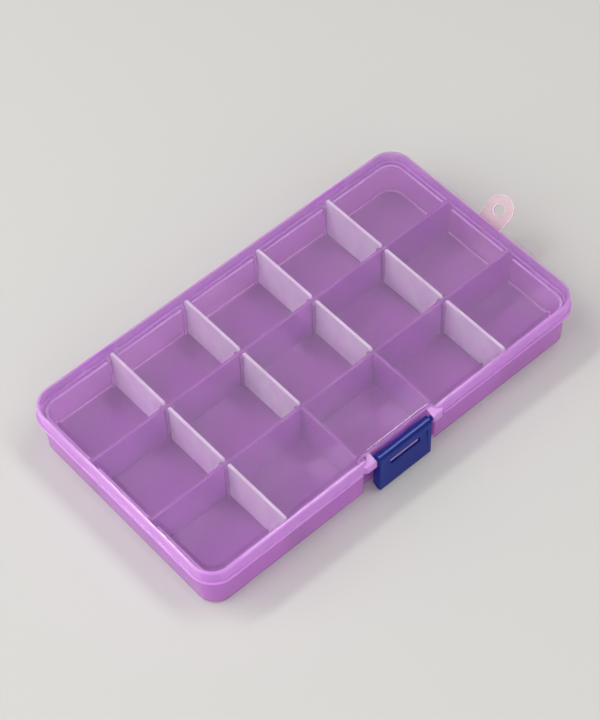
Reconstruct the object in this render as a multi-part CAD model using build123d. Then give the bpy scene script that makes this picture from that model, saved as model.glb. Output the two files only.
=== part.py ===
from build123d import *
import math
import os

# Compartment storage box in millimetres. X runs along the box, -Y is the latch side, +Y the hinge
# side, +Z is up, and the origin is the middle of the tray's underside.

# Tray shell
TRAY_LENGTH = 170.4
TRAY_WIDTH = 95.2
TRAY_HEIGHT = 18.0
TRAY_CORNER = 7.7
TRAY_WALL = 1.0
TRAY_FLOOR = 1.2
TRAY_DRAFT = 0.3
FOOT_ROUND = 1.0
EDGE_BEVEL = 0.3

# Rows, columns and the walls between them
COLUMN_PITCH = 34.0
PARTITION_WALL = 1.4
PARTITION_RISE = 2.0
CROSS_WALL = 1.2

# Loose dividers and the rib pairs that hold them
DIVIDER_WALL = 1.2
DIVIDER_RISE = 0.3
DIVIDER_END_GAP = 0.3
DIVIDER_CORNER = 1.0
RIB_WIDTH = 1.0
RIB_DEPTH = 1.1
RIB_GAP = 0.2
RIB_SLOPE = 0.6

# Recess in the tray's front wall, behind the latch
RECESS_DEPTH = 2.75
RECESS_WALL = 1.0
RECESS_ROUND = 0.9

# Lid
LID_GAP = 0.25
LID_HEADROOM = 0.5
LID_PLATE = 1.2
LID_ROUND = 1.0
SKIRT_WALL = 1.05
SKIRT_DEPTH = 5.1
LIP_REACH = 0.7
LIP_HEIGHT = 1.0
RIM_GAP = 0.4
RIM_WALL = 1.0
RIM_DEPTH = 3.8
RIM_NOTCH_GAP = 0.7
APRON_WALL = 1.0

# Hinge between the tray's back wall and the lid
HINGE_REACH = 2.0
HINGE_DROP = 1.55
HINGE_X = 55.0
HINGE_RADIUS = 1.6
HINGE_PIN = 0.8
HINGE_FIT = 0.05
HINGE_BARREL = 12.0
HINGE_EAR = 2.0
HINGE_SIDE_GAP = 0.25
HINGE_NOTCH_GAP = 0.5
HINGE_GUSSET = 4.0

# Latch and the lid's ears that carry it
LATCH_WIDTH = 24.3
LATCH_PLATE = 1.6
LATCH_RADIUS = 1.8
LATCH_BACK_GAP = 0.8
LATCH_SIDE_GAP = 1.15
LATCH_PIN = 1.0
LATCH_PIN_DEPTH = 2.1
LATCH_PIN_END_GAP = 0.2
LATCH_FIT = 0.06
LATCH_PIN_DROP = 2.8
LATCH_FOOT_GAP = 0.8
LATCH_BORDER = 1.9
LATCH_SCOOP_DEPTH = 0.5
LATCH_SCOOP_DROP = 2.1
LATCH_SCOOP_HEIGHT = 11.0
LATCH_ROUND = 0.4
FLANGE_WALL = 1.3
FLANGE_DEPTH = 3.5
FLANGE_RISE = 1.4
EAR_RADIUS = 1.95
EAR_GAP = 0.2
EAR_BLEND = 2.6
EAR_ROUND = 0.9

# Tongue on the tray and the latch's window round it
TONGUE_WIDTH = 13.4
TONGUE_THICKNESS = 1.0
TONGUE_DROP = 5.2
TONGUE_TIP_GAP = 0.15
TONGUE_GUSSET = 3.6
WINDOW_SIDE_GAP = 0.3
WINDOW_ABOVE = 1.4
WINDOW_BELOW = 0.2
LATCH_WEB = 1.1

# Hanging tab on the right-hand side wall
TAB_WIDTH = 11.4
TAB_REACH = 10.0
TAB_THICKNESS = 0.9
TAB_HOLE = 4.5
TAB_TILT = 37.7
TAB_RADIUS = 1.1
TAB_WALL_GAP = 0.35
TAB_PIN = 0.6
TAB_FIT = 0.05
TAB_SIDE_GAP = 0.25
TAB_EAR = 1.5
TAB_DROP = 2.5
TAB_GUSSET = 2.4

# Places worked out from the sizes above
INNER_X = TRAY_LENGTH / 2 - TRAY_WALL
INNER_Y = TRAY_WIDTH / 2 - TRAY_WALL
ROW_WIDTH = (2 * INNER_Y - 2 * PARTITION_WALL) / 3
PARTITION_Y = ROW_WIDTH / 2 + PARTITION_WALL / 2
PARTITION_TOP = TRAY_HEIGHT + PARTITION_RISE
DIVIDER_TOP = PARTITION_TOP + DIVIDER_RISE
COLUMNS = (-1.5 * COLUMN_PITCH, -0.5 * COLUMN_PITCH, 0.5 * COLUMN_PITCH, 1.5 * COLUMN_PITCH)
FRONT_COLUMNS = (COLUMNS[0], COLUMNS[3])

RECESS_X = COLUMN_PITCH / 2 - CROSS_WALL / 2
RECESS_Y = -TRAY_WIDTH / 2 + RECESS_DEPTH

LID_UNDER = DIVIDER_TOP + LID_HEADROOM
LID_TOP = LID_UNDER + LID_PLATE
SKIRT_BOTTOM = LID_UNDER - SKIRT_DEPTH
POCKET_X = TRAY_LENGTH / 2 + LID_GAP
POCKET_Y = TRAY_WIDTH / 2 + LID_GAP
POCKET_CORNER = TRAY_CORNER + LID_GAP
LID_X = POCKET_X + SKIRT_WALL
LID_Y = POCKET_Y + SKIRT_WALL
LID_CORNER = POCKET_CORNER + SKIRT_WALL
RIM_X = INNER_X - RIM_GAP
RIM_Y = INNER_Y - RIM_GAP
RIM_CORNER = TRAY_CORNER - TRAY_WALL - RIM_GAP
RIM_NOTCH = DIVIDER_WALL + 2 * (RIB_GAP + RIB_WIDTH + RIM_NOTCH_GAP)
APRON_INNER_Y = RECESS_Y - LID_GAP
APRON_Y = APRON_INNER_Y - APRON_WALL

HINGE_Y = TRAY_WIDTH / 2 + HINGE_REACH
HINGE_Z = TRAY_HEIGHT - HINGE_DROP

LATCH_Y = APRON_Y - LATCH_BACK_GAP - LATCH_RADIUS
LATCH_Z = LID_UNDER - LATCH_PIN_DROP
LATCH_FACE_Y = LATCH_Y - LATCH_RADIUS
EAR_X = LATCH_WIDTH / 2 + LATCH_SIDE_GAP
TONGUE_TOP = LATCH_Z - TONGUE_DROP
TONGUE_BOTTOM = TONGUE_TOP - TONGUE_THICKNESS
TONGUE_TIP_Y = LATCH_FACE_Y + LATCH_WEB + TONGUE_TIP_GAP
WINDOW_WIDTH = TONGUE_WIDTH + 2 * WINDOW_SIDE_GAP
WINDOW_BOTTOM = TONGUE_BOTTOM - WINDOW_BELOW
WINDOW_TOP = TONGUE_TOP + WINDOW_ABOVE

TAB_X = TRAY_LENGTH / 2 + TAB_WALL_GAP + TAB_RADIUS
TAB_PIVOT_Z = SKIRT_BOTTOM - TAB_DROP

# Cutting blocks run this far past what they cut, and places this near each other are the same
OVERCUT = 1.0
SAME_PLACE = 0.01
TALL = TRAY_LENGTH + TRAY_WIDTH


def block(x0, x1, y0, y1, z0, z1):
    """A plain box between two corners."""
    middle = Pos((x0 + x1) / 2, (y0 + y1) / 2, (z0 + z1) / 2)
    return middle * Box(abs(x1 - x0), abs(y1 - y0), abs(z1 - z0))


def rounded_plate(half_x, half_y, corner, z0, z1):
    """An upright plate with a rounded-rectangle plan, centred on the origin."""
    plan = RectangleRounded(2 * half_x, 2 * half_y, corner)
    return Pos(0, 0, z0) * extrude(plan, z1 - z0)


def rod_x(radius, x0, x1, y, z):
    """A round rod along X."""
    return Pos((x0 + x1) / 2, y, z) * Rot(0, 90, 0) * Cylinder(radius, abs(x1 - x0))


def rod_y(radius, y0, y1, x, z):
    """A round rod along Y."""
    return Pos(x, (y0 + y1) / 2, z) * Rot(90, 0, 0) * Cylinder(radius, abs(y1 - y0))


def across_x(outline, x0, x1):
    """A YZ outline carried along X from x0 to x1."""
    return Pos(x0, 0, 0) * extrude(Plane.YZ * outline, x1 - x0)


def across_y(outline, y0, y1):
    """An XZ outline carried along Y from y0 to y1."""
    return Pos(0, y1, 0) * extrude(Plane.XZ * outline, y1 - y0)


def hull(*shapes):
    """The stretched outline round several flat shapes."""
    edges = ShapeList()
    for shape in shapes:
        edges += shape.edges()
    return make_hull(edges)


def tray_shell():
    """The open outer shell: drafted walls, round foot, recessed middle of the front wall."""
    foot = RectangleRounded(
        TRAY_LENGTH - 2 * TRAY_DRAFT, TRAY_WIDTH - 2 * TRAY_DRAFT, TRAY_CORNER - TRAY_DRAFT
    )
    rim = Pos(0, 0, TRAY_HEIGHT) * RectangleRounded(TRAY_LENGTH, TRAY_WIDTH, TRAY_CORNER)
    shell = loft([foot, rim])
    recess = block(-RECESS_X, RECESS_X, RECESS_Y, -TRAY_WIDTH, -TALL, TALL)
    shell -= recess
    corners = shell.edges().filter_by(
        lambda e: abs(abs(e.center().X) - RECESS_X) < SAME_PLACE
        and e.center().Y < RECESS_Y - RECESS_DEPTH / 2
        and e.length > TRAY_HEIGHT / 2
    )
    shell = fillet(corners, min(RECESS_ROUND, CROSS_WALL - EDGE_BEVEL))
    shell = fillet(shell.faces().sort_by(Axis.Z)[0].outer_wire().edges(), FOOT_ROUND)
    cavity = rounded_plate(INNER_X, INNER_Y, TRAY_CORNER - TRAY_WALL, TRAY_FLOOR, TALL)
    cheek_x = RECESS_X + CROSS_WALL
    cavity -= block(-cheek_x, cheek_x, RECESS_Y + RECESS_WALL, -TRAY_WIDTH, -TALL, TALL)
    shell -= cavity
    return chamfer(shell.edges().group_by(Axis.Z)[-1], EDGE_BEVEL)


def tray_partitions():
    """The two long partitions and the two fixed walls beside the middle front compartment."""
    walls = []
    for side in (-1, 1):
        near = side * PARTITION_Y - PARTITION_WALL / 2
        far = side * PARTITION_Y + PARTITION_WALL / 2
        wall = block(-INNER_X, INNER_X, near, far, TRAY_FLOOR / 2, PARTITION_TOP)
        walls.append(chamfer(wall.edges().filter_by(Axis.X).group_by(Axis.Z)[-1], EDGE_BEVEL))
    for side in (-1, 1):
        inner = side * RECESS_X
        outer = side * (RECESS_X + CROSS_WALL)
        front = RECESS_Y + RECESS_WALL / 2
        wall = block(inner, outer, front, -PARTITION_Y, TRAY_FLOOR / 2, PARTITION_TOP)
        walls.append(chamfer(wall.edges().filter_by(Axis.Y).group_by(Axis.Z)[-1], EDGE_BEVEL))
    return walls


def rib_pair(x, face_y, into, root_depth, top):
    """Two ribs on a wall's face, either side of a divider, with tops that slope off the wall."""
    root = face_y - into * root_depth
    tip = face_y + into * RIB_DEPTH
    outline = make_face(
        Polyline(
            (root, TRAY_FLOOR / 2),
            (tip, TRAY_FLOOR / 2),
            (tip, top - RIB_SLOPE),
            (face_y, top),
            (root, top),
            close=True,
        )
    )
    inner = DIVIDER_WALL / 2 + RIB_GAP
    return [
        across_x(outline, x + inner, x + inner + RIB_WIDTH),
        across_x(outline, x - inner - RIB_WIDTH, x - inner),
    ]


def tray_ribs():
    """Every rib pair, at both ends of each loose divider."""
    half = PARTITION_WALL / 2
    inner_top = PARTITION_TOP - EDGE_BEVEL
    outer_top = TRAY_HEIGHT - EDGE_BEVEL
    ribs = []
    for x in COLUMNS:
        ribs += rib_pair(x, INNER_Y, -1, TRAY_WALL / 2, outer_top)
        ribs += rib_pair(x, PARTITION_Y + half, 1, half, inner_top)
        ribs += rib_pair(x, PARTITION_Y - half, -1, half, inner_top)
        ribs += rib_pair(x, -PARTITION_Y + half, 1, half, inner_top)
    for x in FRONT_COLUMNS:
        ribs += rib_pair(x, -PARTITION_Y - half, -1, half, inner_top)
        ribs += rib_pair(x, -INNER_Y, 1, TRAY_WALL / 2, outer_top)
    return ribs


def tray_tongue():
    """The catch that stands out of the recess, with three gussets under it."""
    outline = make_face(
        Polyline(
            (RECESS_Y + RECESS_WALL / 2, TONGUE_BOTTOM),
            (TONGUE_TIP_Y, TONGUE_BOTTOM),
            (TONGUE_TIP_Y, TONGUE_TOP - TONGUE_THICKNESS / 2),
            (TONGUE_TIP_Y + TONGUE_THICKNESS / 2, TONGUE_TOP),
            (RECESS_Y + RECESS_WALL / 2, TONGUE_TOP),
            close=True,
        )
    )
    pieces = [across_x(outline, -TONGUE_WIDTH / 2, TONGUE_WIDTH / 2)]
    web = make_face(
        Polyline(
            (RECESS_Y + RECESS_WALL / 2, TONGUE_BOTTOM + TONGUE_THICKNESS / 2),
            (RECESS_Y - TONGUE_GUSSET, TONGUE_BOTTOM + TONGUE_THICKNESS / 2),
            (RECESS_Y - TONGUE_GUSSET, TONGUE_BOTTOM),
            (RECESS_Y, TONGUE_BOTTOM - TONGUE_GUSSET),
            (RECESS_Y + RECESS_WALL / 2, TONGUE_BOTTOM - TONGUE_GUSSET),
            close=True,
        )
    )
    for x in (-TONGUE_WIDTH / 2, -RIB_WIDTH / 2, TONGUE_WIDTH / 2 - RIB_WIDTH):
        pieces.append(across_x(web, x, x + RIB_WIDTH))
    return pieces


def hinge_ear(x0):
    """One ear of the tray's hinge, holed for the lid's pin, with a sloped foot on the wall."""
    wall = TRAY_WIDTH / 2 - TRAY_WALL / 2
    knuckle = Pos(HINGE_Y, HINGE_Z) * Circle(HINGE_RADIUS)
    foot = Pos(wall, HINGE_Z - HINGE_GUSSET / 2) * Rectangle(
        TRAY_WALL / 4, 2 * HINGE_RADIUS + HINGE_GUSSET - EDGE_BEVEL
    )
    x1 = x0 + HINGE_EAR
    ear = across_x(hull(knuckle, foot), x0, x1)
    return ear - rod_x(HINGE_PIN + HINGE_FIT, x0 - OVERCUT, x1 + OVERCUT, HINGE_Y, HINGE_Z)


def tab_ears():
    """Two small ears on the side wall that hold the hanging tab's pins."""
    wall = TRAY_LENGTH / 2 - TRAY_WALL / 2
    knuckle = Pos(TAB_X, TAB_PIVOT_Z) * Circle(TAB_RADIUS)
    foot = Pos(wall, TAB_PIVOT_Z - TAB_GUSSET / 2) * Rectangle(
        TRAY_WALL / 4, 2 * TAB_RADIUS + TAB_GUSSET
    )
    ears = []
    for side in (-1, 1):
        inner = side * (TAB_WIDTH / 2 + TAB_SIDE_GAP)
        outer = inner + side * TAB_EAR
        ear = across_y(hull(knuckle, foot), min(inner, outer), max(inner, outer))
        ears.append(ear - rod_y(TAB_PIN + TAB_FIT, inner - TALL, inner + TALL, TAB_X, TAB_PIVOT_Z))
    return ears


def tray():
    """The moulded tray with everything that is one piece with it."""
    body = tray_shell()
    pieces = tray_partitions() + tray_ribs() + tray_tongue() + tab_ears()
    for x in (-HINGE_X, HINGE_X):
        half = HINGE_BARREL / 2 + HINGE_SIDE_GAP
        pieces.append(hinge_ear(x - half - HINGE_EAR))
        pieces.append(hinge_ear(x + half))
    return (body + pieces).clean()


def divider(x, middle_y):
    """One loose divider that stands on the floor between two rib pairs."""
    half = ROW_WIDTH / 2 - DIVIDER_END_GAP
    plate = block(
        x - DIVIDER_WALL / 2, x + DIVIDER_WALL / 2,
        middle_y - half, middle_y + half, TRAY_FLOOR, DIVIDER_TOP,
    )
    plate = fillet(plate.edges().filter_by(Axis.X).group_by(Axis.Z)[-1], DIVIDER_CORNER)
    return plate


def lid_bay():
    """Plan of the bay in the lid's front edge, with an S-bend at each end."""
    inner = EAR_X
    outer = RECESS_X + EAR_BLEND - LIP_REACH
    middle = ((inner + outer) / 2, (APRON_Y - LID_Y) / 2)
    edges = [Line((-inner, APRON_Y), (inner, APRON_Y))]
    for side in (-1, 1):
        bend = (side * middle[0], middle[1])
        edges.append(TangentArc((side * inner, APRON_Y), bend, tangent=(side, 0)))
        edges.append(TangentArc((side * outer, -LID_Y), bend, tangent=(-side, 0)))
        edges.append(Line((side * outer, -LID_Y), (side * outer, -LID_Y - TALL)))
    edges.append(Line((-outer, -LID_Y - TALL), (outer, -LID_Y - TALL)))
    return make_face(edges)


def lid_pocket():
    """The space under the lid that the tray's walls rise into."""
    pocket = rounded_plate(POCKET_X, POCKET_Y, POCKET_CORNER, -TALL, LID_UNDER)
    inside = RECESS_X - EAR_GAP
    return pocket - block(-inside, inside, APRON_INNER_Y, -TALL, -TALL, TALL)


def latch_ears():
    """The two rounded lobes at the bay's ends that hold the latch's pins."""
    knuckle = Pos(LATCH_Y, LATCH_Z) * Circle(EAR_RADIUS)
    root = Pos((APRON_Y + APRON_INNER_Y) / 2, (LID_UNDER + SKIRT_BOTTOM) / 2) * Rectangle(
        APRON_WALL, LID_UNDER - SKIRT_BOTTOM
    )
    side_view = across_x(hull(knuckle, root), -TALL, TALL)
    front = LATCH_Y - EAR_RADIUS
    lobes = []
    for side in (-1, 1):
        inner = side * EAR_X
        bend = side * (EAR_X + EAR_ROUND)
        crest = side * (RECESS_X - EAR_GAP / 2)
        end = side * (RECESS_X + EAR_BLEND)
        plan = make_face(
            [
                Line((inner, APRON_INNER_Y), (inner, front + EAR_ROUND)),
                TangentArc((inner, front + EAR_ROUND), (bend, front), tangent=(0, -1)),
                Line((bend, front), (crest, front)),
                Spline((crest, front), (end, -LID_Y), tangents=((side, 0), (side, 0))),
                Line((end, -LID_Y), (end, APRON_INNER_Y)),
                Line((end, APRON_INNER_Y), (inner, APRON_INNER_Y)),
            ]
        )
        lobe = extrude(plan, LID_UNDER) & side_view
        lobes.append(lobe)
    return lobes


def lid():
    """The lid: plate and skirt, bead round the skirt, locating rim, hinge barrels, latch ears."""
    body = rounded_plate(LID_X, LID_Y, LID_CORNER, SKIRT_BOTTOM, LID_TOP)
    body -= Pos(0, 0, -TALL) * extrude(lid_bay(), 2 * TALL)
    body = fillet(body.edges().group_by(Axis.Z)[-1], LID_ROUND)
    bead_top = SKIRT_BOTTOM + LIP_HEIGHT
    bead = rounded_plate(
        LID_X + LIP_REACH, LID_Y + LIP_REACH, LID_CORNER + LIP_REACH, SKIRT_BOTTOM, bead_top
    )
    bead = chamfer(bead.edges().group_by(Axis.Z)[0] + bead.edges().group_by(Axis.Z)[-1], EDGE_BEVEL)
    bay_end = RECESS_X + EAR_BLEND
    bead -= block(-bay_end, bay_end, APRON_INNER_Y, -TALL, -TALL, TALL)
    body = body + bead + latch_ears()
    body -= lid_pocket()
    body += lid_rim()
    body = body.cut(*hinge_notches()).fuse(*hinge_barrels())
    hole_end = EAR_X + LATCH_PIN_DEPTH + LATCH_PIN_END_GAP
    for side in (-1, 1):
        mouth = EAR_X - OVERCUT
        body -= rod_x(LATCH_PIN + LATCH_FIT, side * mouth, side * hole_end, LATCH_Y, LATCH_Z)
    return body


def lid_rim():
    """The rim under the plate that centres the lid inside the tray, notched over every wall."""
    rim = rounded_plate(RIM_X, RIM_Y, RIM_CORNER, LID_UNDER - RIM_DEPTH, LID_UNDER + LID_PLATE / 2)
    rim -= rounded_plate(
        RIM_X - RIM_WALL, RIM_Y - RIM_WALL, RIM_CORNER - RIM_WALL, 0, LID_UNDER + LID_PLATE
    )
    bottom = LID_UNDER - RIM_DEPTH - OVERCUT
    for x in COLUMNS:
        rim -= block(x - RIM_NOTCH / 2, x + RIM_NOTCH / 2, 0, TRAY_WIDTH, bottom, LID_UNDER)
    for x in FRONT_COLUMNS:
        rim -= block(x - RIM_NOTCH / 2, x + RIM_NOTCH / 2, -TRAY_WIDTH, 0, bottom, LID_UNDER)
    bay = RECESS_X + CROSS_WALL + RIM_NOTCH_GAP
    rim -= block(-bay, bay, -TRAY_WIDTH, 0, bottom, LID_UNDER)
    for y in (-PARTITION_Y, PARTITION_Y):
        rim -= block(-TALL, TALL, y - RIM_NOTCH / 2, y + RIM_NOTCH / 2, bottom, LID_UNDER)
    return rim


def hinge_notches():
    """Cuts in the lid's back skirt that let the tray's hinge ears through at every angle."""
    top = HINGE_Z + HINGE_RADIUS + HINGE_NOTCH_GAP
    notches = []
    for x in (-HINGE_X, HINGE_X):
        for side in (-1, 1):
            near = x + side * HINGE_BARREL / 2
            far = near + side * (2 * HINGE_SIDE_GAP + HINGE_EAR)
            notches.append(block(near, far, POCKET_Y - LID_GAP, TALL, 0, top))
    return notches


def hinge_barrels():
    """The lid's two hinge barrels, each with a stub pin at both ends."""
    parts = []
    for x in (-HINGE_X, HINGE_X):
        half = HINGE_BARREL / 2
        pin = half + HINGE_SIDE_GAP + HINGE_EAR
        knuckle = Pos(HINGE_Y, HINGE_Z) * Circle(HINGE_RADIUS)
        root_top = HINGE_Z + HINGE_RADIUS
        root = Pos(LID_Y - SKIRT_WALL / 2, (SKIRT_BOTTOM + root_top) / 2) * Rectangle(
            SKIRT_WALL / 2, root_top - SKIRT_BOTTOM
        )
        parts.append(across_x(hull(knuckle, root), x - half, x + half))
        parts.append(rod_x(HINGE_PIN, x - pin, x + pin, HINGE_Y, HINGE_Z))
    return parts


def latch_flanges():
    """The cheeks behind the latch plate's two ends, with feet that rise towards the back."""
    outline = make_face(
        Polyline(
            (LATCH_FACE_Y + LATCH_PLATE / 2, LATCH_FOOT_GAP),
            (LATCH_FACE_Y + LATCH_PLATE, LATCH_FOOT_GAP),
            (LATCH_FACE_Y + FLANGE_DEPTH, LATCH_FOOT_GAP + FLANGE_RISE),
            (LATCH_FACE_Y + FLANGE_DEPTH, LATCH_Z),
            (LATCH_FACE_Y + LATCH_PLATE / 2, LATCH_Z),
            close=True,
        )
    )
    half = LATCH_WIDTH / 2
    return [across_x(outline, -half, -half + FLANGE_WALL), across_x(outline, half - FLANGE_WALL, half)]


def latch_scoop():
    """The shallow scoop in the latch's face, deepest at its top edge."""
    top = LATCH_Z - LATCH_SCOOP_DROP
    outline = make_face(
        Polyline(
            (LATCH_FACE_Y - OVERCUT, top),
            (LATCH_FACE_Y + LATCH_SCOOP_DEPTH, top),
            (LATCH_FACE_Y, top - LATCH_SCOOP_HEIGHT),
            (LATCH_FACE_Y - OVERCUT, top - LATCH_SCOOP_HEIGHT),
            close=True,
        )
    )
    reach = LATCH_WIDTH / 2 - LATCH_BORDER
    return across_x(outline, -reach, reach)


def latch():
    """The latch: round barrel and pins above, plate with a window that drops over the tongue."""
    half = LATCH_WIDTH / 2
    inner_y = LATCH_FACE_Y + LATCH_PLATE
    plate = block(-half, half, LATCH_FACE_Y, inner_y, LATCH_FOOT_GAP, LATCH_Z)
    barrel = rod_x(LATCH_RADIUS, -half, half, LATCH_Y, LATCH_Z)
    barrel = fillet(barrel.edges().filter_by(GeomType.CIRCLE), LATCH_ROUND)
    plate = fillet(plate.edges().group_by(Axis.Y)[0].filter_by(Axis.Z), LATCH_ROUND)
    body = plate + barrel + latch_flanges()
    body += rod_x(LATCH_PIN, -EAR_X - LATCH_PIN_DEPTH, EAR_X + LATCH_PIN_DEPTH, LATCH_Y, LATCH_Z)
    body -= latch_scoop()
    window = WINDOW_WIDTH / 2
    front = LATCH_FACE_Y - OVERCUT
    back = inner_y + OVERCUT
    body -= block(-window, window, front, back, WINDOW_BOTTOM, WINDOW_TOP)
    swing = math.hypot(HINGE_Y - TONGUE_TIP_Y, HINGE_Z - TONGUE_BOTTOM) + TONGUE_TIP_GAP
    relief = rod_x(swing, -window, window, HINGE_Y, HINGE_Z)
    relief &= block(-window, window, front, back, -TALL, WINDOW_BOTTOM)
    return body - relief


def hanging_tab():
    """The folding tab with its peg hole, drawn flat along X and then tipped up."""
    tab = Pos(TAB_REACH / 2, 0, 0) * Box(TAB_REACH, TAB_WIDTH, TAB_THICKNESS)
    tab += Pos(TAB_REACH, 0, 0) * Cylinder(TAB_WIDTH / 2, TAB_THICKNESS)
    tab -= Pos(TAB_REACH, 0, 0) * Cylinder(TAB_HOLE / 2, TAB_THICKNESS + OVERCUT)
    tab += rod_y(TAB_RADIUS, -TAB_WIDTH / 2, TAB_WIDTH / 2, 0, 0)
    pin = TAB_WIDTH / 2 + TAB_SIDE_GAP + TAB_EAR
    tab += rod_y(TAB_PIN, -pin, pin, 0, 0)
    return Pos(TAB_X, 0, TAB_PIVOT_Z) * Rot(0, -TAB_TILT, 0) * tab


nodes = {"tray": tray(), "lid": lid(), "latch": latch(), "hanging_tab": hanging_tab()}
row_step = ROW_WIDTH + PARTITION_WALL
for index, column in enumerate(COLUMNS, start=1):
    nodes[f"divider_back_{index}"] = divider(column, row_step)
    nodes[f"divider_middle_{index}"] = divider(column, 0)
for index, column in enumerate(FRONT_COLUMNS, start=1):
    nodes[f"divider_front_{index}"] = divider(column, -row_step)

os.makedirs("parts", exist_ok=True)
for name, shape in nodes.items():
    export_step(shape, f"parts/{name}.step")
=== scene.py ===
import math

import bpy
from mathutils import Matrix, Vector


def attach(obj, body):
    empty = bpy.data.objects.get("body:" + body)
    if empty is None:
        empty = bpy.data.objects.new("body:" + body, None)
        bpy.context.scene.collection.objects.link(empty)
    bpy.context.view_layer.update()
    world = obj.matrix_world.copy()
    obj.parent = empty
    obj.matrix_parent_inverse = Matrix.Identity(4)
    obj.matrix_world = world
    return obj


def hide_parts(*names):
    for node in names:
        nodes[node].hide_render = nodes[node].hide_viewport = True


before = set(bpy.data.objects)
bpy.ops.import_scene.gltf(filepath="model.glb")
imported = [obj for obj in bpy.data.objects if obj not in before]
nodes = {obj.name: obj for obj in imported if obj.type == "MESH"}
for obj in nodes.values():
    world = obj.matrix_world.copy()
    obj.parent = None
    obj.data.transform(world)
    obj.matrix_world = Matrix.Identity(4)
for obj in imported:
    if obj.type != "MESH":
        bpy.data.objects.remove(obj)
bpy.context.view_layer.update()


# Tray. One injection moulding in clear violet plastic, slightly milky, with a high polish on
# every outer face. The floor, the outer walls, the long partitions and the ribs are all one
# piece. The light that soaks into the floor and comes out at the tops of the walls is painted:
# the wall tops and broken edges get a lighter, milkier edge material, a painted highlight.
VIOLET = (0.80, 0.33, 0.90, 1.0)
VIOLET_CLOUD = (0.78, 0.30, 0.88, 1.0)
# Painted highlight: a lighter, milkier violet for the broken edges and the tops of the walls.
VIOLET_EDGE_HIGHLIGHT = (0.84, 0.50, 1.0, 1.0)
VIOLET_EDGE_HIGHLIGHT_CLOUD = (0.82, 0.46, 0.98, 1.0)
TRAY_CLEARNESS = 0.72
TRAY_EDGE_CLEARNESS = 0.45
TRAY_ROUGHNESS = 0.14
TRAY_EDGE = 0.00022
WALL_TOP_HIGHLIGHT_HEIGHTS = (0.013, 0.019)

# What all the mouldings of the box share. The low index keeps what lies behind a thin wall in
# its place, and the coat is the polish that the mould leaves.
PLASTIC_IOR = 1.05
COAT_IOR = 1.58
COAT_ROUGHNESS = 0.05
GLOW_RADIUS = (1.0, 0.7, 1.0)
GLOW_REACH = 0.0015
CLOUD_SCALE = 45.0
CLOUD_DETAIL = 3.0
CLOUD_SOFTNESS = 0.5
NO_STRETCH = (1.0, 1.0, 1.0)
GLOSS_SPREAD = 0.2
RIPPLE_SCALE = 110.0
RIPPLE_HEIGHT = 0.000008
MERGE_REACH = 1e-6
FLAT_ANGLE = math.radians(0.5)
EDGE_ANGLE = math.radians(32.0)
EDGE_SEGMENTS = 2
# Slot of the edge material, which paints a highlight along broken edges.
EDGE_HIGHLIGHT_SLOT = 1
LYING_FLAT = 0.7

# The foot line is a painted highlight: a pale, milkier line where the outer walls stand on the
# floor. It lies between the inner face of the wall and the middle of its thickness.
WALL_FACE_HALF = (0.0839, 0.0463)
WALL_FACE_ROUND = 0.0066
WALL_MIDDLE_HALF = (0.0846, 0.0470)
WALL_MIDDLE_ROUND = 0.0073
WALL_FACE_BLEND = 0.0002
FOOT_HIGHLIGHT_TOP = 0.0019
FOOT_HIGHLIGHT_CLEARNESS = 0.3
FOOT_HIGHLIGHT_TINT = (0.98, 0.66, 0.98, 1.0)

# The tongue stands out of the front wall for the latch. Its opaque pale lilac is a painted
# highlight, the light that the tongue catches in the latch's window.
TONGUE_HIGHLIGHT_TINT = (0.80, 0.50, 0.98, 1.0)
TONGUE_HIGHLIGHT_CLOUD = (0.77, 0.46, 0.96, 1.0)
TONGUE_CLEARNESS = 0.0
TONGUE_FRONT = -0.0449
TONGUE_HALF = 0.0068


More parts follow.
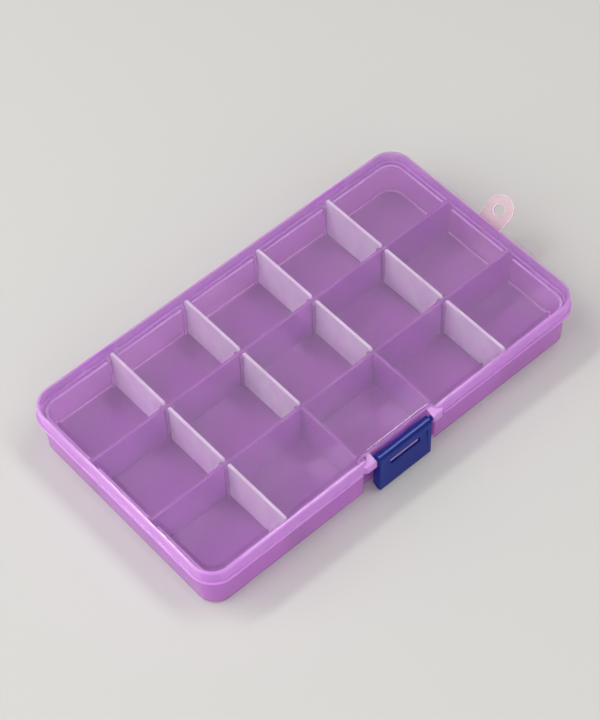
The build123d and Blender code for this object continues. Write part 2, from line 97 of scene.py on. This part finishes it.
def plastic(
    name,
    tint,
    cloud,
    clearness,
    roughness,
    coat=1.0,
    ior=PLASTIC_IOR,
    cloud_scale=CLOUD_SCALE,
    cloud_softness=CLOUD_SOFTNESS,
    stretch=NO_STRETCH,
    ripple_height=RIPPLE_HEIGHT,
):
    """A moulded plastic, see-through by its clearness and clouded, with a soft glow, in the rest."""
    material = bpy.data.materials.new(name)
    material.use_nodes = True
    tree = material.node_tree
    shader = tree.nodes["Principled BSDF"]
    shader.inputs["Transmission Weight"].default_value = clearness
    shader.inputs["IOR"].default_value = ior
    shader.inputs["Coat Weight"].default_value = coat
    shader.inputs["Coat Roughness"].default_value = COAT_ROUGHNESS
    shader.inputs["Coat IOR"].default_value = COAT_IOR
    shader.inputs["Subsurface Radius"].default_value = GLOW_RADIUS
    shader.inputs["Subsurface Scale"].default_value = GLOW_REACH

    # The glow is for the outer side of the skin alone. Met from inside the plastic the milky
    # share is matt, or dark lines run along every thin wall.
    side = tree.nodes.new("ShaderNodeNewGeometry")
    glow = tree.nodes.new("ShaderNodeMath")
    glow.operation = "SUBTRACT"
    glow.inputs[0].default_value = 1.0
    tree.links.new(side.outputs["Backfacing"], glow.inputs[1])
    tree.links.new(glow.outputs["Value"], shader.inputs["Subsurface Weight"])

    place = tree.nodes.new("ShaderNodeTexCoord")
    stretched = tree.nodes.new("ShaderNodeVectorMath")
    stretched.operation = "MULTIPLY"
    stretched.inputs[1].default_value = stretch
    tree.links.new(place.outputs["Object"], stretched.inputs[0])
    drift = tree.nodes.new("ShaderNodeTexNoise")
    drift.inputs["Scale"].default_value = cloud_scale
    drift.inputs["Detail"].default_value = CLOUD_DETAIL
    tree.links.new(stretched.outputs["Vector"], drift.inputs["Vector"])
    cloudy = tree.nodes.new("ShaderNodeMapRange")
    cloudy.inputs["From Min"].default_value = 0.5 - cloud_softness
    cloudy.inputs["From Max"].default_value = 0.5 + cloud_softness
    tree.links.new(drift.outputs["Fac"], cloudy.inputs["Value"])
    colour = tree.nodes.new("ShaderNodeMix")
    colour.data_type = "RGBA"
    colour.inputs["A"].default_value = tint
    colour.inputs["B"].default_value = cloud
    tree.links.new(cloudy.outputs["Result"], colour.inputs["Factor"])
    tree.links.new(colour.outputs["Result"], shader.inputs["Base Color"])

    gloss = tree.nodes.new("ShaderNodeMapRange")
    gloss.inputs["To Min"].default_value = roughness * (1 - GLOSS_SPREAD)
    gloss.inputs["To Max"].default_value = roughness * (1 + GLOSS_SPREAD)
    tree.links.new(drift.outputs["Fac"], gloss.inputs["Value"])
    tree.links.new(gloss.outputs["Result"], shader.inputs["Roughness"])

    if ripple_height:
        ripple = tree.nodes.new("ShaderNodeTexNoise")
        ripple.inputs["Scale"].default_value = RIPPLE_SCALE
        tree.links.new(place.outputs["Object"], ripple.inputs["Vector"])
        bump = tree.nodes.new("ShaderNodeBump")
        bump.inputs["Distance"].default_value = ripple_height
        tree.links.new(ripple.outputs["Fac"], bump.inputs["Height"])
        tree.links.new(bump.outputs["Normal"], shader.inputs["Normal"])
    return material


def moulding(node_name, body, face, edge_highlight, edge, bright_band=None, bright_way=1):
    """A piece with its node's exact shape, its sharp edges broken and given the edge material, a
    painted highlight.

    Flat faces in the bright band of heights that look up, or down for a bright way of -1, get
    the painted edge highlight too.
    """
    bpy.ops.object.select_all(action="DESELECT")
    piece = nodes[node_name].copy()
    piece.data = nodes[node_name].data.copy()
    piece.name = node_name + "_moulding"
    bpy.context.collection.objects.link(piece)
    bpy.context.view_layer.objects.active = piece
    piece.select_set(True)
    piece.data.materials.clear()
    piece.data.materials.append(face)
    piece.data.materials.append(edge_highlight)

    bpy.ops.object.mode_set(mode="EDIT")
    bpy.ops.mesh.customdata_custom_splitnormals_clear()
    bpy.ops.mesh.select_all(action="SELECT")
    bpy.ops.mesh.remove_doubles(threshold=MERGE_REACH)
    bpy.ops.mesh.dissolve_limited(angle_limit=FLAT_ANGLE)
    bpy.ops.object.mode_set(mode="OBJECT")

    bevel = piece.modifiers.new("broken_edges", "BEVEL")
    bevel.limit_method = "ANGLE"
    bevel.angle_limit = EDGE_ANGLE
    bevel.width = edge
    bevel.segments = EDGE_SEGMENTS
    # The bevel's faces get the edge material, a painted highlight.
    bevel.material = EDGE_HIGHLIGHT_SLOT
    bpy.ops.object.modifier_apply(modifier=bevel.name)
    bpy.ops.object.shade_smooth_by_angle(angle=EDGE_ANGLE)
    flats = piece.modifiers.new("flats", "WEIGHTED_NORMAL")
    flats.keep_sharp = True
    bpy.ops.object.modifier_apply(modifier=flats.name)

    if bright_band:
        for polygon in piece.data.polygons:
            flat = polygon.normal.z * bright_way > LYING_FLAT
            if flat and bright_band[0] < polygon.center.z < bright_band[1]:
                polygon.material_index = EDGE_HIGHLIGHT_SLOT

    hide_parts(node_name)
    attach(piece, body)
    return piece


def add_finish(piece, finish):
    """Adds a finish to a piece and gives the number that its faces call it by."""
    piece.data.materials.append(finish)
    return len(piece.data.materials) - 1


def outside_outline(tree, half, round_by, blend):
    """A value that is 0 inside a rounded rectangle round the box's middle and 1 outside it."""
    place = tree.nodes.new("ShaderNodeTexCoord")
    size = tree.nodes.new("ShaderNodeVectorMath")
    size.operation = "ABSOLUTE"
    tree.links.new(place.outputs["Object"], size.inputs[0])
    past = tree.nodes.new("ShaderNodeVectorMath")
    past.operation = "SUBTRACT"
    past.inputs[1].default_value = (half[0] - round_by, half[1] - round_by, 0.0)
    tree.links.new(size.outputs["Vector"], past.inputs[0])
    outside = tree.nodes.new("ShaderNodeVectorMath")
    outside.operation = "MAXIMUM"
    tree.links.new(past.outputs["Vector"], outside.inputs[0])
    flat = tree.nodes.new("ShaderNodeVectorMath")
    flat.operation = "MULTIPLY"
    flat.inputs[1].default_value = (1.0, 1.0, 0.0)
    tree.links.new(outside.outputs["Vector"], flat.inputs[0])
    distance = tree.nodes.new("ShaderNodeVectorMath")
    distance.operation = "LENGTH"
    tree.links.new(flat.outputs["Vector"], distance.inputs[0])
    mask = tree.nodes.new("ShaderNodeMapRange")
    mask.interpolation_type = "SMOOTHSTEP"
    mask.inputs["From Min"].default_value = round_by - blend
    mask.inputs["From Max"].default_value = round_by + blend
    tree.links.new(distance.outputs["Value"], mask.inputs["Value"])
    return mask.outputs["Result"]


def low_ring(tree, inner, outer, top):
    """A value that is 1 between two outlines and below a height, and 0 elsewhere."""
    ring = tree.nodes.new("ShaderNodeMath")
    ring.operation = "SUBTRACT"
    tree.links.new(inner, ring.inputs[0])
    tree.links.new(outer, ring.inputs[1])
    place = tree.nodes.new("ShaderNodeTexCoord")
    parts = tree.nodes.new("ShaderNodeSeparateXYZ")
    tree.links.new(place.outputs["Object"], parts.inputs["Vector"])
    below = tree.nodes.new("ShaderNodeMath")
    below.operation = "LESS_THAN"
    below.inputs[1].default_value = top
    tree.links.new(parts.outputs["Z"], below.inputs[0])
    both = tree.nodes.new("ShaderNodeMath")
    both.operation = "MULTIPLY"
    tree.links.new(ring.outputs["Value"], both.inputs[0])
    tree.links.new(below.outputs["Value"], both.inputs[1])
    return both.outputs["Value"]


def cloudier(material, mask, clearness, masked_clearness, tint):
    """Makes a plastic cloudier where the mask is 1, and gives it a tint of its own there."""
    tree = material.node_tree
    shader = tree.nodes["Principled BSDF"]
    clear = tree.nodes.new("ShaderNodeMapRange")
    clear.inputs["To Min"].default_value = clearness
    clear.inputs["To Max"].default_value = masked_clearness
    tree.links.new(mask, clear.inputs["Value"])
    tree.links.new(clear.outputs["Result"], shader.inputs["Transmission Weight"])
    inner = shader.inputs["Base Color"].links[0].from_socket
    colour = tree.nodes.new("ShaderNodeMix")
    colour.data_type = "RGBA"
    colour.inputs["B"].default_value = tint
    tree.links.new(inner, colour.inputs["A"])
    tree.links.new(mask, colour.inputs["Factor"])
    tree.links.new(colour.outputs["Result"], shader.inputs["Base Color"])


tray_face = plastic("violet_tray", VIOLET, VIOLET_CLOUD, TRAY_CLEARNESS, TRAY_ROUGHNESS)
# The edge material paints a highlight on the tray's broken edges and wall tops.
tray_edge_highlight = plastic(
    "violet_tray_edge_highlight",
    VIOLET_EDGE_HIGHLIGHT,
    VIOLET_EDGE_HIGHLIGHT_CLOUD,
    TRAY_EDGE_CLEARNESS,
    TRAY_ROUGHNESS,
    ripple_height=0.0,
)
tray_tree = tray_face.node_tree
wall_face = outside_outline(tray_tree, WALL_FACE_HALF, WALL_FACE_ROUND, WALL_FACE_BLEND)
wall_middle = outside_outline(tray_tree, WALL_MIDDLE_HALF, WALL_MIDDLE_ROUND, WALL_FACE_BLEND)
# Painted highlight: a pale, cloudier line along the foot of the outer walls.
foot_highlight = low_ring(tray_tree, wall_face, wall_middle, FOOT_HIGHLIGHT_TOP)
cloudier(tray_face, foot_highlight, TRAY_CLEARNESS, FOOT_HIGHLIGHT_CLEARNESS, FOOT_HIGHLIGHT_TINT)
tray = moulding(
    "tray", "tray", tray_face, tray_edge_highlight, TRAY_EDGE, bright_band=WALL_TOP_HIGHLIGHT_HEIGHTS
)

# Painted highlight: the tongue's faces get an opaque pale lilac.
tongue_highlight = add_finish(
    tray,
    plastic("violet_tongue_highlight", TONGUE_HIGHLIGHT_TINT, TONGUE_HIGHLIGHT_CLOUD, TONGUE_CLEARNESS, TRAY_ROUGHNESS),
)
for polygon in tray.data.polygons:
    if polygon.center.y < TONGUE_FRONT and abs(polygon.center.x) < TONGUE_HALF:
        polygon.material_index = tongue_highlight


# Loose dividers. Ten small plates of natural plastic, frosted all over with cloudy patches.
# Each is pushed down between two pairs of the tray's ribs and lifts out again by hand.
DIVIDER_TINT = (1.0, 0.97, 1.0, 1.0)
DIVIDER_CLOUD = (0.93, 0.79, 0.96, 1.0)
# Painted highlight: the broken edges and the tops get a whiter, opaque edge material.
DIVIDER_EDGE_HIGHLIGHT_TINT = (1.0, 0.95, 1.0, 1.0)
DIVIDER_CLEARNESS = 0.03
DIVIDER_EDGE_CLEARNESS = 0.0
DIVIDER_ROUGHNESS = 0.5
DIVIDER_EDGE_ROUGHNESS = 0.4
DIVIDER_COAT = 0.2
DIVIDER_EDGE = 0.0002
DIVIDER_TOP_HIGHLIGHT_HEIGHTS = (0.010, 0.021)
FROST_SCALE = 190.0
FROST_SOFTNESS = 0.17
FROST_STRETCH = (1.0, 1.0, 0.6)

divider_face = plastic(
    "frosted_divider",
    DIVIDER_TINT,
    DIVIDER_CLOUD,
    DIVIDER_CLEARNESS,
    DIVIDER_ROUGHNESS,
    coat=DIVIDER_COAT,
    cloud_scale=FROST_SCALE,
    cloud_softness=FROST_SOFTNESS,
    stretch=FROST_STRETCH,
)
divider_edge_highlight = plastic(
    "frosted_divider_edge_highlight",
    DIVIDER_EDGE_HIGHLIGHT_TINT,
    DIVIDER_TINT,
    DIVIDER_EDGE_CLEARNESS,
    DIVIDER_EDGE_ROUGHNESS,
    coat=DIVIDER_COAT,
)
for name in list(nodes):
    if name.startswith("divider_"):
        moulding(
            name,
            "tray",
            divider_face,
            divider_edge_highlight,
            DIVIDER_EDGE,
            bright_band=DIVIDER_TOP_HIGHLIGHT_HEIGHTS,
        )


# Lid. One moulding in the tray's violet plastic, polished and clearer than the tray, so the
# dividers show through its flat plate. It turns on stub pins between the tray's back ears,
# and two ears at the front of its skirt hold the latch.
LID_TINT = (0.97, 0.87, 0.99, 1.0)
LID_CLOUD = (0.96, 0.84, 0.99, 1.0)
# Painted highlight: the broken edges and the downward faces under the rim get a milky edge material
# that shows as bright lines.
LID_EDGE_HIGHLIGHT_TINT = (0.92, 0.66, 1.0, 1.0)
LID_EDGE_HIGHLIGHT_CLOUD = (0.90, 0.62, 0.98, 1.0)
LID_CLEARNESS = 0.95
LID_EDGE_CLEARNESS = 0.2
LID_ROUGHNESS = 0.05
LID_EDGE = 0.0002
LID_UNDERSIDE_HIGHLIGHT_HEIGHTS = (0.0165, 0.020)

# The skirt is seen nearly edge on, so it looks deeper than the plate.
SKIRT_TINT = (0.80, 0.39, 0.92, 1.0)
SKIRT_CLEARNESS = 0.5
SKIRT_HALF = (0.0855, 0.0479)
SKIRT_ROUND = 0.0080
SKIRT_BLEND = 0.0003

# Under the plate runs a thin locating rim, and the pocket between it and the skirt takes the
# top of the tray's wall. The ears for the latch are solid and a little duller.
UPRIGHT = 0.5
RIM_HALF = (0.0840, 0.0464)
RIM_TOP = 0.0209
RIM_ROOT = 0.0202
RIM_CLEARNESS = 1.0
RIM_COAT = 0.0
RIM_IOR = 1.01
POCKET_HALF = (0.0856, 0.0480)
POCKET_TINT = (0.84, 0.46, 1.0, 1.0)
POCKET_CLOUD = (0.81, 0.43, 0.98, 1.0)
POCKET_CLEARNESS = 0.6
POCKET_COAT = 0.1
EAR_FRONT = -0.0459
EAR_END = 0.0185
EAR_TINT = (0.84, 0.44, 0.98, 1.0)
EAR_CLOUD = (0.81, 0.40, 0.96, 1.0)
EAR_CLEARNESS = 0.5
EAR_ROUGHNESS = 0.2
EAR_COAT = 0.5

lid_face = plastic("violet_lid", LID_TINT, LID_CLOUD, LID_CLEARNESS, LID_ROUGHNESS)
lid_edge_highlight = plastic(
    "violet_lid_edge_highlight",
    LID_EDGE_HIGHLIGHT_TINT,
    LID_EDGE_HIGHLIGHT_CLOUD,
    LID_EDGE_CLEARNESS,
    LID_ROUGHNESS,
    ripple_height=0.0,
)
skirt = outside_outline(lid_face.node_tree, SKIRT_HALF, SKIRT_ROUND, SKIRT_BLEND)
cloudier(lid_face, skirt, LID_CLEARNESS, SKIRT_CLEARNESS, SKIRT_TINT)
lid = moulding(
    "lid",
    "lid",
    lid_face,
    lid_edge_highlight,
    LID_EDGE,
    bright_band=LID_UNDERSIDE_HIGHLIGHT_HEIGHTS,
    bright_way=-1,
)

locating_rim = add_finish(
    lid,
    plastic(
        "violet_lid_rim",
        LID_TINT,
        LID_CLOUD,
        RIM_CLEARNESS,
        LID_ROUGHNESS,
        coat=RIM_COAT,
        ior=RIM_IOR,
        ripple_height=0.0,
    ),
)
ear = add_finish(
    lid,
    plastic(
        "violet_lid_ear", EAR_TINT, EAR_CLOUD, EAR_CLEARNESS, EAR_ROUGHNESS, coat=EAR_COAT
    ),
)
pocket = add_finish(
    lid,
    plastic(
        "violet_skirt_inside",
        POCKET_TINT,
        POCKET_CLOUD,
        POCKET_CLEARNESS,
        LID_ROUGHNESS,
        coat=POCKET_COAT,
        ripple_height=0.0,
    ),
)
for polygon in lid.data.polygons:
    x, y, z = abs(polygon.center.x), abs(polygon.center.y), polygon.center.z
    upright = abs(polygon.normal.z) < UPRIGHT
    rim_root = z > RIM_ROOT and polygon.normal.z < 0 and polygon.material_index == EDGE_HIGHLIGHT_SLOT
    within = x < POCKET_HALF[0] and y < POCKET_HALF[1] and z < RIM_TOP
    if within and (upright or rim_root):
        inside_rim = x < RIM_HALF[0] and y < RIM_HALF[1]
        polygon.material_index = locating_rim if inside_rim else pocket
    if polygon.center.y < EAR_FRONT and x < EAR_END and z < RIM_TOP:
        polygon.material_index = ear


# Latch. A small plate of deep blue plastic, moulded on its own and fairly glossy. The pins at
# the ends of its barrel snap into the lid's ears, and its window closes over the tongue.
LATCH_BLUE = (0.008, 0.022, 0.22, 1.0)
LATCH_CLOUD = (0.007, 0.018, 0.19, 1.0)
# Painted highlight: a lighter blue on the broken edges.
LATCH_EDGE_HIGHLIGHT_TINT = (0.02, 0.05, 0.36, 1.0)
LATCH_CLEARNESS = 0.0
LATCH_ROUGHNESS = 0.32
LATCH_EDGE_ROUGHNESS = 0.3
LATCH_COAT = 0.35
LATCH_EDGE = 0.0002

latch_face = plastic(
    "blue_latch", LATCH_BLUE, LATCH_CLOUD, LATCH_CLEARNESS, LATCH_ROUGHNESS, coat=LATCH_COAT
)
latch_edge_highlight = plastic(
    "blue_latch_edge_highlight",
    LATCH_EDGE_HIGHLIGHT_TINT,
    LATCH_BLUE,
    LATCH_CLEARNESS,
    LATCH_EDGE_ROUGHNESS,
    coat=LATCH_COAT,
)
moulding("latch", "latch", latch_face, latch_edge_highlight, LATCH_EDGE)


# Hanging tab. A thin loop of natural plastic, nearly clear, with a hole for a shop peg. Two
# pins at its foot snap into small ears on the tray's end wall and hold it where it is tipped.
TAB_TINT = (0.91, 0.70, 0.76, 1.0)
TAB_CLOUD = (0.87, 0.64, 0.72, 1.0)
# Painted highlight: a pale, milky white on the broken edges.
TAB_EDGE_HIGHLIGHT_TINT = (1.0, 0.93, 0.95, 1.0)
TAB_CLEARNESS = 0.85
TAB_EDGE_CLEARNESS = 0.1
TAB_ROUGHNESS = 0.2
TAB_COAT = 0.6
TAB_EDGE = 0.00015

tab_face = plastic("pale_tab", TAB_TINT, TAB_CLOUD, TAB_CLEARNESS, TAB_ROUGHNESS, coat=TAB_COAT)
tab_edge_highlight = plastic(
    "pale_tab_edge_highlight",
    TAB_EDGE_HIGHLIGHT_TINT,
    TAB_TINT,
    TAB_EDGE_CLEARNESS,
    TAB_ROUGHNESS,
    ripple_height=0.0,
)
moulding("hanging_tab", "hanging_tab", tab_face, tab_edge_highlight, TAB_EDGE)


# Floor. A plain, pale, matt surface for the box to lie on. It is no piece of the box.
FLOOR_PALE = (0.58, 0.57, 0.55, 1.0)
FLOOR_ROUGHNESS = 0.9
FLOOR_SIZE = 6.0

bpy.ops.object.select_all(action="DESELECT")
bpy.ops.mesh.primitive_plane_add(size=FLOOR_SIZE, location=(0, 0, 0))
floor = bpy.context.object
floor.name = "floor"
floor_paint = bpy.data.materials.new("pale_floor")
floor_paint.use_nodes = True
floor_shader = floor_paint.node_tree.nodes["Principled BSDF"]
floor_shader.inputs["Base Color"].default_value = FLOOR_PALE
floor_shader.inputs["Roughness"].default_value = FLOOR_ROUGHNESS
floor.data.materials.append(floor_paint)


# Light. An even white room, two large weak softboxes from the left and the front, and two
# strips overhead that draw the bright lines along the lid's rounded edges. All of them stand
# clear of where the flat lid would mirror them into the camera.
ROOM_WHITE = (1.0, 1.0, 1.0, 1.0)
ROOM_STRENGTH = 0.22
KEY_PLACE, KEY_SIZE, KEY_POWER = (-1.0, 0.40, 0.72), (1.5, 1.5), 16.0
FILL_PLACE, FILL_SIZE, FILL_POWER = (-0.35, -1.15, 0.62), (1.8, 1.2), 7.5
SIDE_STRIP_PLACE, SIDE_STRIP_SIZE, SIDE_STRIP_POWER = (-0.31, 0.49, 0.98), (0.52, 0.14), 3.4
FRONT_STRIP_PLACE, FRONT_STRIP_SIZE, FRONT_STRIP_POWER = (0.38, -0.30, 1.0), (0.26, 0.85), 4.4
BOX_MIDDLE = (0.0, 0.0, 0.0)

world = bpy.data.worlds.new("studio")
bpy.context.scene.world = world
world.use_nodes = True
room = world.node_tree.nodes["Background"]
room.inputs["Color"].default_value = ROOM_WHITE
room.inputs["Strength"].default_value = ROOM_STRENGTH


def softbox(name, place, size, power, aim=BOX_MIDDLE):
    """A soft light of the given width and depth that faces a point."""
    light = bpy.data.lights.new(name, "AREA")
    light.shape = "RECTANGLE"
    light.size = size[0]
    light.size_y = size[1]
    light.energy = power
    lamp = bpy.data.objects.new(name, light)
    bpy.context.collection.objects.link(lamp)
    lamp.location = place
    lamp.rotation_euler = (Vector(aim) - Vector(place)).to_track_quat("-Z", "Y").to_euler()


def strip(name, place, size, power):
    """A softbox that hangs overhead and faces straight down."""
    softbox(name, place, size, power, aim=(place[0], place[1], 0.0))


softbox("key", KEY_PLACE, KEY_SIZE, KEY_POWER)
softbox("fill", FILL_PLACE, FILL_SIZE, FILL_POWER)
strip("side_strip", SIDE_STRIP_PLACE, SIDE_STRIP_SIZE, SIDE_STRIP_POWER)
strip("front_strip", FRONT_STRIP_PLACE, FRONT_STRIP_SIZE, FRONT_STRIP_POWER)


# Camera. It stands where the photograph's camera stood, which was solved from the box's own
# straight edges.
CAMERA_AZIMUTH = math.radians(39.80)
CAMERA_ELEVATION = math.radians(54.33)
CAMERA_ROLL = math.radians(-2.42)
CAMERA_DISTANCE = 0.7917
CAMERA_TARGET = Vector((0.00479, 0.00995, 0.0))
CAMERA_LENS = 109.97

turn = (
    Matrix.Rotation(-CAMERA_AZIMUTH, 4, "Z")
    @ Matrix.Rotation(math.pi / 2 - CAMERA_ELEVATION, 4, "X")
    @ Matrix.Rotation(CAMERA_ROLL, 4, "Z")
)
back_off = Matrix.Translation((0, 0, CAMERA_DISTANCE))
camera_data = bpy.data.cameras.new("camera")
camera_data.lens = CAMERA_LENS
camera = bpy.data.objects.new("camera", camera_data)
bpy.context.collection.objects.link(camera)
camera.matrix_world = Matrix.Translation(CAMERA_TARGET) @ turn @ back_off
bpy.context.scene.camera = camera
bpy.context.scene.view_settings.view_transform = "Standard"
